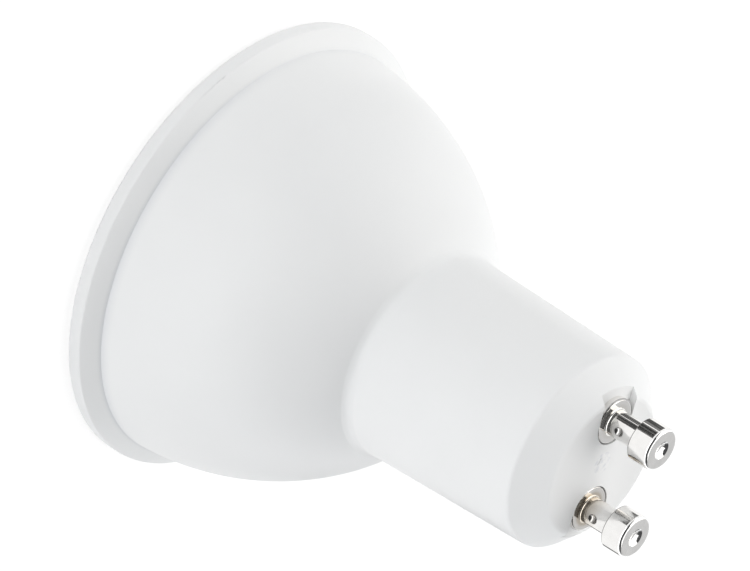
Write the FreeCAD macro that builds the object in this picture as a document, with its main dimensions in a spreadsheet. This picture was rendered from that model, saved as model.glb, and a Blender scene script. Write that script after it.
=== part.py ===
# A spotlight lamp with a two-pin twist-lock base, in millimetres.
# The front face lies at z = 0 and the pins point up, along +Z, side by side on the X axis.
import FreeCAD, Part
import math
import os
from enum import IntEnum
from types import SimpleNamespace

import Sketcher

SIZES = {
    # Rim of the housing and the diffuser that closes it
    "rim_diameter": 50.0,
    "rim_band_width": 1.5,
    "rim_bevel_depth": 1.4,
    "rim_bevel_inset": 1.8,
    "rim_lip": 0.55,
    "rim_front_round": 0.2,
    "rim_back_round": 0.25,
    "diffuser_proud": 0.45,
    "diffuser_clearance": 0.12,
    "diffuser_lip_thickness": 1.3,
    "diffuser_face_thickness": 1.6,
    "diffuser_edge_round": 0.25,
    "diffuser_skirt_gap": 0.6,
    "diffuser_skirt_thickness": 1.0,
    "diffuser_bead": 0.45,
    "diffuser_bead_width": 0.9,
    # Bowl, neck and base of the housing
    "bowl_depth": 23.05,
    "bowl_radius": 32.3,
    "bowl_wall": 1.5,
    "neck_diameter": 21.55,
    "neck_draft": 0.6,
    "neck_length": 21.1,
    "neck_wall": 1.5,
    "neck_fillet": 1.6,
    "base_chamfer_depth": 3.0,
    "base_chamfer_inset": 3.05,
    "base_edge_round": 0.4,
    "base_end_round": 0.8,
    "base_wall": 2.5,
    "base_inner_chamfer": 0.8,
    "gate_diameter": 1.7,
    "gate_depth": 0.25,
    # Contact pins and the notches they are riveted into
    "pin_spacing": 10.0,
    "pin_projection": 6.15,
    "pin_head_diameter": 4.7,
    "pin_head_length": 2.55,
    "pin_head_round": 0.35,
    "pin_head_back_round": 0.12,
    "pin_shank_diameter": 2.85,
    "pin_shank_root": 0.2,
    "pin_flange_diameter": 5.06,
    "pin_flange_thickness": 0.72,
    "pin_flange_round": 0.2,
    "pin_notch_depth": 0.78,
    "pin_notch_clearance": 0.05,
    "pin_hole_clearance": 0.05,
    "pin_lip_overhang": 0.45,
    "pin_lip_thickness": 0.4,
    "pin_bore_diameter": 1.2,
    "pin_bore_stop": 0.6,
    "pin_end_dimple_diameter": 2.0,
    "pin_end_dimple_depth": 0.4,
    "pin_crimp_radius": 0.6,
    "pin_crimp_depth": 0.3,
    "pin_crimp_height": 1.65,
    # Heat sink and light-emitting board behind the diffuser
    "heat_sink_front": 7.0,
    "heat_sink_sheet": 1.0,
    "heat_sink_clearance": 0.15,
    "heat_sink_skirt": 10.0,
    "heat_sink_hole_diameter": 9.0,
    "led_board_thickness": 1.0,
    "led_board_clearance": 0.8,
    "led_ring_diameter": 25.0,
    "led_chip_length": 3.5,
    "led_chip_width": 2.8,
    "led_chip_height": 0.8,
    "led_window_diameter": 2.3,
    "led_window_depth": 0.15,
    # Driver board, upright in the neck between two pairs of rails
    "driver_board_thickness": 1.0,
    "driver_board_length": 23.6,
    "driver_board_edge_gap": 0.6,
    "driver_board_end_gap": 0.2,
    "driver_board_corner": 1.8,
    "rail_depth": 1.5,
    "rail_width": 1.2,
    "rail_root": 0.5,
    "rail_start": 3.0,
    "rail_length": 15.0,
    "rail_clearance": 0.12,
    # Wires
    "wire_diameter": 0.8,
    "wire_clearance": 0.1,
    "wire_notch_depth": 2.0,
    "wire_crimp_reach": 2.6,
    "led_lead_spacing": 5.0,
    "led_lead_tail": 0.8,
    # Parts on the driver board
    "part_gap": 1.1,
    "part_margin": 2.2,
    "capacitor_diameter": 6.3,
    "capacitor_length": 10.0,
    "capacitor_groove_depth": 0.35,
    "capacitor_groove_width": 0.8,
    "capacitor_groove_height": 1.6,
    "capacitor_round": 0.4,
    "capacitor_seat_gap": 0.1,
    "choke_diameter": 6.5,
    "choke_height": 6.5,
    "choke_flange": 1.0,
    "choke_core_diameter": 3.0,
    "choke_winding_diameter": 5.7,
    "choke_winding_clearance": 0.05,
    "driver_chip_length": 4.9,
    "driver_chip_width": 3.9,
    "driver_chip_height": 1.5,
    "driver_chip_span": 6.0,
    "driver_chip_pitch": 1.27,
    "driver_chip_lead": 0.42,
    "rectifier_length": 4.7,
    "rectifier_width": 3.9,
    "rectifier_height": 2.4,
    "rectifier_span": 6.8,
    "rectifier_pitch": 2.54,
    "rectifier_lead": 0.65,
    "lead_foot_thickness": 0.2,
    "fuse_diameter": 2.2,
    "fuse_length": 5.8,
    "fuse_cap_length": 1.2,
    "fuse_waist": 0.15,
    "fuse_seat_gap": 0.05,
    "chip_resistor_length": 2.0,
    "chip_resistor_width": 1.25,
    "chip_resistor_height": 0.55,
    "chip_resistor_pitch": 2.6,
    "chip_resistor_offset": 5.6,
}
LED_COUNT = 6
DRIVER_CHIP_LEADS_PER_SIDE = 4
RECTIFIER_LEADS_PER_SIDE = 2
CHIP_RESISTOR_COUNT = 3

doc = FreeCAD.newDocument("spotlight_lamp")
sheet = doc.addObject("Spreadsheet::Sheet", "sizes")
for row, (name, number) in enumerate(SIZES.items(), start=1):
    sheet.set(f"A{row}", name)
    sheet.set(f"B{row}", str(number))
    sheet.setAlias(f"B{row}", name)
doc.recompute()


class Size:
    """A number of the model together with the sheet expression that gives it."""

    def __init__(self, number, text):
        self.number = number
        self.text = text

    def __add__(self, other):
        return Size(self.number + as_size(other).number, f"({self.text} + {as_size(other).text})")

    def __sub__(self, other):
        return Size(self.number - as_size(other).number, f"({self.text} - {as_size(other).text})")

    def __mul__(self, other):
        return Size(self.number * as_size(other).number, f"({self.text} * {as_size(other).text})")

    def __truediv__(self, other):
        return Size(self.number / as_size(other).number, f"({self.text} / {as_size(other).text})")

    def __neg__(self):
        return Size(-self.number, f"(0 - {self.text})")


class Guess:
    """A coordinate that a sketch works out by itself, with the number it starts from."""

    def __init__(self, number):
        self.number = number


def as_size(value):
    """A plain number as a size, and a size as it is."""
    return value if isinstance(value, Size) else Size(value, str(value))


s = SimpleNamespace(**{name: Size(number, f"sizes.{name}") for name, number in SIZES.items()})
AXIS = "on the axis"


class Spot(IntEnum):
    """How a sketch numbers the ends and the centre of a side, and its own two axes."""

    START = 1
    END = 2
    CENTRE = 3
    X_AXIS = -1
    Y_AXIS = -2



# Heights of the housing, from its front edge to its end face
rim_front = s.diffuser_proud
rim_back = rim_front + s.rim_band_width
bowl_start = rim_back + s.rim_bevel_depth
bowl_end = bowl_start + s.bowl_depth
neck_end = bowl_end + s.neck_length
end_face = neck_end + s.base_chamfer_depth
base_inside = end_face - s.base_wall
pin_seat = end_face - s.pin_notch_depth
pin_tip = end_face + s.pin_projection
seat_of_diffuser = s.diffuser_lip_thickness

# Radii of the housing
rim_radius = s.rim_diameter / 2
rebate_radius = rim_radius - s.rim_lip
mouth_radius = rim_radius - s.rim_bevel_inset
neck_end_radius = s.neck_diameter / 2
neck_start_radius = neck_end_radius + s.neck_draft
end_face_radius = neck_end_radius - s.base_chamfer_inset
neck_cavity_radius = neck_end_radius - s.neck_wall

# The driver board's place in the neck
board_rear = base_inside - s.pin_lip_thickness - s.driver_board_end_gap
board_front = board_rear - s.driver_board_length
board_half_width = neck_cavity_radius - s.driver_board_edge_gap
board_face = s.driver_board_thickness / 2


def bowl_centre():
    """Centre of the bowl's outer arc, from its two ends and its radius."""
    x1, z1 = mouth_radius.number, bowl_start.number
    x2, z2 = neck_start_radius.number, bowl_end.number
    chord = math.hypot(x2 - x1, z2 - z1)
    rise = math.sqrt(s.bowl_radius.number ** 2 - (chord / 2) ** 2)
    return (x1 + x2) / 2 - rise * (z2 - z1) / chord, (z1 + z2) / 2 - rise * (x1 - x2) / chord


def radius_in_bowl(inset, height):
    """Radius, at a height, of the arc that runs at an inset inside the bowl's outer one."""
    centre_x, centre_z = bowl_centre()
    return centre_x + math.sqrt((s.bowl_radius.number - inset) ** 2 - (height - centre_z) ** 2)


def height_in_bowl(inset, radius):
    """Height at which the arc at an inset inside the bowl's outer one has a radius."""
    centre_x, centre_z = bowl_centre()
    return centre_z + math.sqrt((s.bowl_radius.number - inset) ** 2 - (radius - centre_x) ** 2)


def neck_fillet_ends():
    """Where the fillet between bowl and neck leaves the bowl's arc, and where it meets the neck."""
    centre = FreeCAD.Vector(*bowl_centre(), 0)
    corner = FreeCAD.Vector(neck_start_radius.number, bowl_end.number, 0)
    along = (FreeCAD.Vector(neck_end_radius.number, neck_end.number, 0) - corner).normalize()
    outward = FreeCAD.Vector(along.y, -along.x, 0)
    fillet = s.neck_fillet.number
    reach = s.bowl_radius.number + fillet
    start = corner + outward * fillet - centre
    half = start.dot(along)
    rise = math.sqrt(half ** 2 + reach ** 2 - start.dot(start)) - half
    to_fillet = start + along * rise
    on_bowl = centre + to_fillet * (s.bowl_radius.number / reach)
    on_neck = centre + to_fillet - outward * fillet
    return on_bowl, on_neck


def new_body(label):
    """An empty body; its label names the piece."""
    body = doc.addObject("PartDesign::Body", label)
    body.Label = label
    body.AllowCompound = True
    return body


def new_sketch(body, name, plane, height=None):
    """A sketch on one of the body's origin planes, lifted along its normal by a height."""
    sketch = body.newObject("Sketcher::SketchObject", f"{body.Name}_{name}")
    support = [item for item in body.Origin.OriginFeatures if item.Role == plane][0]
    sketch.AttachmentSupport = (support, [""])
    sketch.MapMode = "FlatFace"
    if height is not None:
        sketch.setExpression("AttachmentOffset.Base.z", height.text)
    return sketch


def measure(sketch, kind, references, size):
    """A dimension of a sketch, bound to the sheet."""
    index = sketch.addConstraint(Sketcher.Constraint(kind, *references, size.number))
    sketch.setExpression(f"Constraints[{index}]", size.text)


def hold_point(sketch, side, end, x, y):
    """Holds one end of a side at its two coordinates; a guess is left free."""
    for kind, axis, value in (("DistanceX", Spot.Y_AXIS, x), ("DistanceY", Spot.X_AXIS, y)):
        if isinstance(value, Size):
            measure(sketch, kind, (Spot.X_AXIS, Spot.START, side, end), value)
        elif value is AXIS:
            sketch.addConstraint(Sketcher.Constraint("PointOnObject", side, end, axis))


def number_of(value):
    """The number a coordinate starts from."""
    return 0.0 if value is AXIS else value.number


def arc_between(start, end, radius, centre_on_left):
    """A circular arc between two points, the short way round."""
    chord = end - start
    rise = math.sqrt(max(radius ** 2 - (chord.Length / 2) ** 2, 0.0))
    left = FreeCAD.Vector(-chord.y, chord.x, 0) / chord.Length
    to_centre = left if centre_on_left else -left
    centre = (start + end) / 2 + to_centre * rise
    middle = centre - to_centre * radius
    return Part.Arc(start, middle, end)


def draw_outline(sketch, points, arcs=None, smooth=()):
    """A closed outline through the points. arcs gives a side, by number, its radius and whether
    its centre lies on the left. At the points in smooth, by number, two sides are tangent."""
    arcs = arcs or {}
    vectors = [FreeCAD.Vector(number_of(x), number_of(y), 0) for x, y in points]
    first = sketch.GeometryCount
    count = len(points)
    for side in range(count):
        start, end = vectors[side], vectors[(side + 1) % count]
        if side in arcs:
            radius, centre_on_left = arcs[side]
            sketch.addGeometry(arc_between(start, end, radius.number, centre_on_left), False)
        else:
            sketch.addGeometry(Part.LineSegment(start, end), False)
    ends = [side_ends(sketch, first + side, vectors[side]) for side in range(count)]
    for side in range(count):
        following = (side + 1) % count
        joint = (first + side, ends[side][1], first + following, ends[following][0])
        kind = "Tangent" if following in smooth else "Coincident"
        sketch.addConstraint(Sketcher.Constraint(kind, *joint))
    for side, (x, y) in enumerate(points):
        hold_point(sketch, first + side, ends[side][0], x, y)
    for side, (radius, _) in arcs.items():
        measure(sketch, "Radius", (first + side,), radius)


def side_ends(sketch, side, start):
    """Which of a side's two ends is its start on the outline, and which its end."""
    from_start = (sketch.getPoint(side, Spot.START) - start).Length
    from_end = (sketch.getPoint(side, Spot.END) - start).Length
    if from_start < from_end:
        return Spot.START, Spot.END
    return Spot.END, Spot.START


def draw_circle(sketch, x, y, radius):
    """A circle whose centre and radius are held by sizes."""
    centre = FreeCAD.Vector(number_of(x), number_of(y), 0)
    circle = sketch.addGeometry(Part.Circle(centre, FreeCAD.Vector(0, 0, 1), radius.number), False)
    hold_point(sketch, circle, Spot.CENTRE, x, y)
    measure(sketch, "Radius", (circle,), radius)


def draw_box(sketch, x1, y1, x2, y2):
    """A rectangle between two corners."""
    draw_outline(sketch, [(x1, y1), (x2, y1), (x2, y2), (x1, y2)])


def revolve(body, sketch):
    """Turns a sketch once round its vertical axis."""
    feature = body.newObject("PartDesign::Revolution", f"{sketch.Name}_turned")
    feature.Profile = sketch
    feature.ReferenceAxis = (sketch, ["V_Axis"])
    feature.Angle = 360
    doc.recompute()
    return feature


def pad(body, sketch, length):
    """Raises a sketch along its normal."""
    feature = body.newObject("PartDesign::Pad", f"{sketch.Name}_raised")
    feature.Profile = sketch
    feature.setExpression("Length", length.text)
    doc.recompute()
    return feature


def pocket(body, sketch, depth):
    """Cuts a sketch against its normal, and makes sure that it removed material."""
    before = body.Shape.Volume
    feature = body.newObject("PartDesign::Pocket", f"{sketch.Name}_cut")
    feature.Profile = sketch
    feature.setExpression("Length", depth.text)
    doc.recompute()
    if body.Shape.Volume >= before:
        raise RuntimeError(f"{sketch.Name} cuts nothing")
    return feature


def ring_edges(shape, radius, height):
    """Names of the round edges of a radius at a height."""
    names = []
    for index, edge in enumerate(shape.Edges, start=1):
        if not isinstance(edge.Curve, Part.Circle):
            continue
        near = abs(edge.Curve.Radius - radius.number) + abs(edge.Curve.Center.z - height.number)
        if near < 1e-4:
            names.append(f"Edge{index}")
    return names


def fillet_rings(body, radius, rings):
    """Rounds the edges of a body that run in a circle about its axis."""
    base = body.Tip
    edges = [name for ring in rings for name in ring_edges(base.Shape, *ring)]
    if len(edges) != len(rings):
        raise RuntimeError(f"{body.Name} lacks an edge to round")
    feature = body.newObject("PartDesign::Fillet", f"{body.Name}_round")
    feature.Base = (base, edges)
    feature.setExpression("Radius", radius.text)
    doc.recompute()


def place(piece, x=None, y=None, z=None, turn=None):
    """Puts a piece at a place bound to the sheet, after a turn."""
    if turn is not None:
        piece.Placement = FreeCAD.Placement(FreeCAD.Vector(), turn)
    for letter, value in (("x", x), ("y", y), ("z", z)):
        if value is not None:
            piece.setExpression(f"Placement.Base.{letter}", value.text)


def make_housing():
    """One moulded shell: rim with a rebate, bowl, neck and the base that carries the pins."""
    body = new_body("housing")
    wall = s.bowl_wall.number
    cavity_front = neck_cavity_radius + s.neck_draft
    inner_mouth = Guess(radius_in_bowl(wall, bowl_start.number))
    inner_bowl_end = Guess(height_in_bowl(wall, cavity_front.number))
    fillet_start, fillet_end = [(Guess(spot.x), Guess(spot.y)) for spot in neck_fillet_ends()]
    bowl_side, fillet_side, neck_side, inner_bowl_side = 3, 4, 5, 12
    points = [
        (rebate_radius, rim_front),
        (rim_radius, rim_front),
        (rim_radius, rim_back),
        (mouth_radius, bowl_start),
        fillet_start,
        fillet_end,
        (neck_end_radius, neck_end),
        (end_face_radius, end_face),
        (AXIS, end_face),
        (AXIS, base_inside),
        (neck_cavity_radius - s.base_inner_chamfer, base_inside),
        (neck_cavity_radius, base_inside - s.base_inner_chamfer),
        (cavity_front, inner_bowl_end),
        (inner_mouth, bowl_start),
        (inner_mouth, seat_of_diffuser),
        (rebate_radius, seat_of_diffuser),
    ]
    arcs = {
        bowl_side: (s.bowl_radius, True),
        fillet_side: (s.neck_fillet, False),
        inner_bowl_side: (s.bowl_radius - s.bowl_wall, False),
    }
    section = new_sketch(body, "section", "XZ_Plane")
    draw_outline(section, points, arcs, smooth=(fillet_side, neck_side))
    corner_spot = FreeCAD.Vector(neck_start_radius.number, bowl_end.number, 0)
    corner = section.addGeometry(Part.Point(corner_spot), True)
    hold_point(section, corner, Spot.START, neck_start_radius, bowl_end)
    for side in (bowl_side, neck_side):
        section.addConstraint(Sketcher.Constraint("PointOnObject", corner, Spot.START, side))
    centres = (bowl_side, Spot.CENTRE, inner_bowl_side, Spot.CENTRE)
    section.addConstraint(Sketcher.Constraint("Coincident", *centres))
    section.addConstraint(Sketcher.Constraint("Vertical", inner_bowl_side + 1))
    revolve(body, section)
    fillet_rings(body, s.rim_front_round, [(rim_radius, rim_front)])
    fillet_rings(body, s.rim_back_round, [(rim_radius, rim_back)])
    fillet_rings(body, s.base_edge_round, [(neck_end_radius, neck_end)])
    fillet_rings(body, s.base_end_round, [(end_face_radius, end_face)])

    rails = new_sketch(body, "rails", "XY_Plane", bowl_end + s.rail_start)
    inner_side = neck_cavity_radius - s.rail_depth
    outer_side = neck_cavity_radius + s.rail_root
    slot_side = board_face + s.rail_clearance
    far_side = slot_side + s.rail_width
    draw_box(rails, inner_side, slot_side, outer_side, far_side)
    draw_box(rails, inner_side, -far_side, outer_side, -slot_side)
    draw_box(rails, -outer_side, slot_side, -inner_side, far_side)
    draw_box(rails, -outer_side, -far_side, -inner_side, -slot_side)
    pad(body, rails, s.rail_length)

    # Each pin's flange sits in a notch with a round inner end, open through the chamfer
    pin_x = s.pin_spacing / 2
    half_notch = s.pin_flange_diameter / 2 + s.pin_notch_clearance
    notch_ends = new_sketch(body, "notch_ends", "XY_Plane", end_face)
    notches = new_sketch(body, "notches", "XY_Plane", end_face)
    holes = new_sketch(body, "holes", "XY_Plane", end_face)
    for x in (pin_x, -pin_x):
        draw_circle(notch_ends, x, AXIS, half_notch)
        draw_circle(holes, x, AXIS, s.pin_shank_diameter / 2 + s.pin_hole_clearance)
    draw_box(notches, pin_x, -half_notch, neck_end_radius, half_notch)
    draw_box(notches, -neck_end_radius, -half_notch, -pin_x, half_notch)
    pocket(body, notch_ends, s.pin_notch_depth)
    pocket(body, notches, s.pin_notch_depth)
    pocket(body, holes, s.base_wall)

    gate = new_sketch(body, "gate", "XY_Plane", end_face)
    draw_circle(gate, AXIS, AXIS, s.gate_diameter / 2)
    pocket(body, gate, s.gate_depth)
    return body


def make_diffuser():
    """Moulded front cover: a lip in the rim's rebate and a skirt that presses on the heat sink."""
    body = new_body("diffuser")
    edge = rebate_radius - s.diffuser_clearance
    skirt = mouth_radius - s.bowl_wall - s.diffuser_skirt_gap
    bead = skirt + s.diffuser_bead
    bead_middle = seat_of_diffuser + s.diffuser_bead_width / 2
    bead_end = seat_of_diffuser + s.diffuser_bead_width
    inside = skirt - s.diffuser_skirt_thickness
    section = new_sketch(body, "section", "XZ_Plane")
    points = [
        (AXIS, AXIS),
        (edge, AXIS),
        (edge, seat_of_diffuser),
        (skirt, seat_of_diffuser),
        (bead, bead_middle),
        (skirt, bead_end),
        (skirt, s.heat_sink_front),
        (inside, s.heat_sink_front),
        (inside, s.diffuser_face_thickness),
        (AXIS, s.diffuser_face_thickness),
    ]
    draw_outline(section, points)
    revolve(body, section)
    fillet_rings(body, s.diffuser_edge_round, [(edge, as_size(0.0))])
    return body


def make_heat_sink():
    """Pressed aluminium cup whose floor carries the light board and whose skirt lines the bowl."""
    body = new_body("heat_sink")
    outer_inset = s.bowl_wall + s.heat_sink_clearance
    inner_inset = outer_inset + s.heat_sink_sheet
    floor_back = s.heat_sink_front + s.heat_sink_sheet
    skirt_end = floor_back + s.heat_sink_skirt
    hole = s.heat_sink_hole_diameter / 2
    corners = [
        (outer_inset, s.heat_sink_front),
        (outer_inset, skirt_end),
        (inner_inset, skirt_end),
        (inner_inset, floor_back),
    ]
    points = [(hole, s.heat_sink_front)]
    for inset, height in corners:
        points.append((Guess(radius_in_bowl(inset.number, height.number)), height))
    points.append((hole, floor_back))
    outer_side, inner_side = 1, 3
    arcs = {
        outer_side: (s.bowl_radius - outer_inset, True),
        inner_side: (s.bowl_radius - inner_inset, False),
    }
    section = new_sketch(body, "section", "XZ_Plane")
    draw_outline(section, points, arcs)
    mouth = FreeCAD.Vector(mouth_radius.number, bowl_start.number, 0)
    neck = FreeCAD.Vector(neck_start_radius.number, bowl_end.number, 0)
    guide = section.addGeometry(arc_between(mouth, neck, s.bowl_radius.number, True), True)
    ends = side_ends(section, guide, mouth)
    hold_point(section, guide, ends[0], mouth_radius, bowl_start)
    hold_point(section, guide, ends[1], neck_start_radius, bowl_end)
    measure(section, "Radius", (guide,), s.bowl_radius)
    for side in (outer_side, inner_side):
        section.addConstraint(Sketcher.Constraint("Coincident", guide, Spot.CENTRE, side, Spot.CENTRE))
    revolve(body, section)
    return body


def make_led_board():
    """Round metal-core board on the heat sink's floor, with two holes for the leads."""
    body = new_body("led_board")
    skirt_inside = mouth_radius - s.bowl_wall - s.diffuser_skirt_gap - s.diffuser_skirt_thickness
    lead_hole = s.wire_diameter / 2 + s.wire_clearance
    outline = new_sketch(body, "outline", "XY_Plane", s.heat_sink_front - s.led_board_thickness)
    draw_circle(outline, AXIS, AXIS, skirt_inside - s.led_board_clearance)
    for x in (s.led_lead_spacing / 2, -s.led_lead_spacing / 2):
        draw_circle(outline, x, AXIS, lead_hole)
    pad(body, outline, s.led_board_thickness)
    return body


def make_led_chips():
    """A ring of surface-mounted emitters, each with a sunken window."""
    body = new_body("led_chips")
    board_front_face = s.heat_sink_front - s.led_board_thickness
    chip_front = board_front_face - s.led_chip_height
    ring = s.led_ring_diameter / 2
    chip = new_sketch(body, "chip", "XY_Plane", chip_front)
    half_length = s.led_chip_length / 2
    half_width = s.led_chip_width / 2
    draw_box(chip, ring - half_width, -half_length, ring + half_width, half_length)
    raised = pad(body, chip, s.led_chip_height)
    window = new_sketch(body, "window", "XY_Plane", chip_front + s.led_window_depth)
    draw_circle(window, ring, AXIS, s.led_window_diameter / 2)
    sunken = pocket(body, window, s.led_window_depth)
    pattern = body.newObject("PartDesign::PolarPattern", "led_chips_ring")
    pattern.Originals = [raised, sunken]
    pattern.Axis = (chip, ["N_Axis"])
    pattern.Angle = 360
    pattern.Occurrences = LED_COUNT
    body.Tip = pattern
    doc.recompute()
    return body


def make_driver_board():
    """Upright board with clipped rear corners and notches for the wires at both ends."""
    body = new_body("driver_board")
    notch = s.wire_diameter / 2 + s.wire_clearance
    rear_x = s.pin_spacing / 2
    front_x = s.led_lead_spacing / 2
    rear_floor = board_rear - s.wire_notch_depth
    front_floor = board_front + s.wire_notch_depth
    clip = s.driver_board_corner
    right = [
        (front_x - notch, board_front),
        (front_x - notch, front_floor),
        (front_x + notch, front_floor),
        (front_x + notch, board_front),
        (board_half_width, board_front),
        (board_half_width, board_rear - clip),
        (board_half_width - clip, board_rear),
        (rear_x + notch, board_rear),
        (rear_x + notch, rear_floor),
        (rear_x - notch, rear_floor),
        (rear_x - notch, board_rear),
    ]
    left = [(-x, z) for x, z in reversed(right)]
    outline = new_sketch(body, "outline", "XZ_Plane", -board_face)
    draw_outline(outline, right + left)
    pad(body, outline, s.driver_board_thickness)
    return body


def make_wire(label, x, low, high):
    """A straight length of wire along Z."""
    wire = doc.addObject("Part::Cylinder", label)
    wire.Label = label
    wire.setExpression("Radius", (s.wire_diameter / 2).text)
    wire.setExpression("Height", (high - low).text)
    place(wire, x=x, z=low)
    return wire


def make_led_leads():
    """The two leads from the driver board, through the heat sink, to the light board."""
    low = s.heat_sink_front - s.led_board_thickness - s.led_lead_tail
    high = board_front + s.wire_notch_depth - s.wire_clearance
    half = s.led_lead_spacing / 2
    leads = doc.addObject("Part::Compound", "led_leads")
    leads.Label = "led_leads"
    leads.Links = [make_wire("led_lead_right", half, low, high), make_wire("led_lead_left", -half, low, high)]
    return leads


def make_mains_wire(label, x):
    """A mains wire from the driver board's notch up into a hollow pin."""
    low = board_rear - s.wire_notch_depth + s.wire_clearance
    return make_wire(label, x, low, pin_seat + s.wire_crimp_reach)


def make_contact_pin(label, x):
    """A hollow turned pin: lip inside the base, flange, shank with a crimp mark, and locking head."""
    body = new_body(label)
    head = s.pin_head_diameter / 2
    shank = s.pin_shank_diameter / 2
    flange = s.pin_flange_diameter / 2
    lip = shank + s.pin_lip_overhang
    bore = s.pin_bore_diameter / 2
    dimple = s.pin_end_dimple_diameter / 2
    head_back = pin_tip - s.pin_head_length
    flange_top = pin_seat + s.pin_flange_thickness
    bore_end = head_back - s.pin_bore_stop
    lip_low = base_inside - s.pin_lip_thickness
    depth = s.pin_end_dimple_depth
    points = [
        (AXIS, bore_end),
        (bore, bore_end),
        (bore, lip_low),
        (lip, lip_low),
        (lip, base_inside),
        (shank, base_inside),
        (shank, pin_seat),
        (flange, pin_seat),
        (flange, flange_top - s.pin_flange_round),
        (flange - s.pin_flange_round, flange_top),
        (shank + s.pin_shank_root, flange_top),
        (shank, flange_top + s.pin_shank_root),
        (shank, head_back),
        (head - s.pin_head_back_round, head_back),
        (head, head_back + s.pin_head_back_round),
        (head, pin_tip - s.pin_head_round),
        (head - s.pin_head_round, pin_tip),
        (dimple, pin_tip),
        (AXIS, pin_tip - depth),
    ]
    flange_side, root_side, back_side, edge_side, dimple_side = 8, 10, 13, 15, 17
    dimple_radius = (dimple * dimple + depth * depth) / (depth * 2)
    arcs = {
        flange_side: (s.pin_flange_round, True),
        root_side: (s.pin_shank_root, False),
        back_side: (s.pin_head_back_round, True),
        edge_side: (s.pin_head_round, True),
        dimple_side: (dimple_radius, False),
    }
    section = new_sketch(body, "section", "XZ_Plane")
    draw_outline(section, points, arcs)
    revolve(body, section)
    crimp = body.newObject("PartDesign::SubtractiveSphere", f"{label}_crimp")
    crimp.setExpression("Radius", s.pin_crimp_radius.text)
    place(crimp, y=shank + s.pin_crimp_radius - s.pin_crimp_depth, z=flange_top + s.pin_crimp_height)
    place(body, x=x)
    return body


# Local Z of a part on the board's front side points to +Y, and on its rear side to -Y
TO_FRONT = FreeCAD.Rotation(FreeCAD.Vector(1, 0, 0), -90)
TO_REAR = FreeCAD.Rotation(FreeCAD.Vector(1, 0, 0), 90)


def make_capacitor():
    """Electrolytic can, lying along the board, with the groove that seals its bung."""
    body = new_body("bulk_capacitor")
    radius = s.capacitor_diameter / 2
    waist = radius - s.capacitor_groove_depth
    half_groove = s.capacitor_groove_width / 2
    groove = s.capacitor_groove_height
    section = new_sketch(body, "section", "XZ_Plane")
    points = [
        (AXIS, AXIS),
        (radius, AXIS),
        (radius, groove - half_groove),
        (waist, groove),
        (radius, groove + half_groove),
        (radius, s.capacitor_length),
        (AXIS, s.capacitor_length),
    ]
    draw_outline(section, points)
    revolve(body, section)
    fillet_rings(body, s.capacitor_round, [(radius, as_size(0.0)), (radius, s.capacitor_length)])
    place(body, y=board_face + radius + s.capacitor_seat_gap, z=board_front + s.part_margin)
    return body


choke_z = (board_front + s.part_margin + s.capacitor_length + s.part_gap + s.choke_diameter / 2)


def make_choke_core():
    """Ferrite drum that stands on the board."""
    body = new_body("choke_core")
    flange = s.choke_diameter / 2
    core = s.choke_core_diameter / 2
    upper = s.choke_height - s.choke_flange
    section = new_sketch(body, "section", "XZ_Plane")
    points = [
        (AXIS, AXIS),
        (flange, AXIS),
        (flange, s.choke_flange),
        (core, s.choke_flange),
        (core, upper),
        (flange, upper),
        (flange, s.choke_height),
        (AXIS, s.choke_height),
    ]
    draw_outline(section, points)
    revolve(body, section)
    place(body, y=board_face, z=choke_z, turn=TO_FRONT)
    return body


def make_choke_winding():
    """The turns of wire on the drum, as one ring."""
    body = new_body("choke_winding")
    gap = s.choke_winding_clearance
    low = s.choke_flange + gap
    high = s.choke_height - s.choke_flange - gap
    inside = s.choke_core_diameter / 2 + gap
    outside = s.choke_winding_diameter / 2
    section = new_sketch(body, "section", "XZ_Plane")
    draw_box(section, inside, low, outside, high)
    revolve(body, section)
    place(body, y=board_face, z=choke_z, turn=TO_FRONT)
    return body


def make_package(label, length, width, height, span, pitch, lead, per_side, z):
    """A moulded chip package whose flat feet stick out on both long sides, on the board's rear."""
    body = new_body(label)
    case = new_sketch(body, "case", "XY_Plane")
    draw_box(case, -length / 2, -width / 2, length / 2, width / 2)
    pad(body, case, height)
    feet = new_sketch(body, "feet", "XY_Plane")
    for index in range(per_side):
        middle = pitch * (index - (per_side - 1) / 2)
        draw_box(feet, middle - lead / 2, -span / 2, middle + lead / 2, span / 2)
    pad(body, feet, s.lead_foot_thickness)
    place(body, y=-board_face, z=z, turn=TO_REAR)
    return body


driver_chip_z = board_front + s.part_margin + s.driver_chip_span / 2
rectifier_z = driver_chip_z + s.driver_chip_span / 2 + s.part_gap + s.rectifier_span / 2
fuse_z = rectifier_z + s.rectifier_span / 2 + s.part_gap + s.fuse_diameter / 2


def make_fuse_resistor():
    """Cylindrical resistor with a metal cap at each end, lying across the board."""
    body = new_body("fuse_resistor")
    cap = s.fuse_diameter / 2
    waist = cap - s.fuse_waist
    half = s.fuse_length / 2
    cap_start = half - s.fuse_cap_length
    section = new_sketch(body, "section", "XZ_Plane")
    points = [
        (AXIS, -half),
        (cap, -half),
        (cap, -cap_start),
        (waist, -cap_start),
        (waist, cap_start),
        (cap, cap_start),
        (cap, half),
        (AXIS, half),
    ]
    draw_outline(section, points)
    revolve(body, section)
    across = FreeCAD.Rotation(FreeCAD.Vector(0, 1, 0), 90)
    place(body, y=-board_face - cap - s.fuse_seat_gap, z=fuse_z, turn=across)
    return body


def make_chip_resistors():
    """A column of chip resistors beside the driver chip."""
    body = new_body("chip_resistors")
    half_length = s.chip_resistor_length / 2
    half_width = s.chip_resistor_width / 2
    column = new_sketch(body, "column", "XY_Plane")
    for index in range(CHIP_RESISTOR_COUNT):
        middle = s.chip_resistor_pitch * index
        draw_box(column, -half_length, middle - half_width, half_length, middle + half_width)
    pad(body, column, s.chip_resistor_height)
    place(body, x=-s.chip_resistor_offset, y=-board_face, z=board_front + s.part_margin, turn=TO_REAR)
    return body


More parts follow.
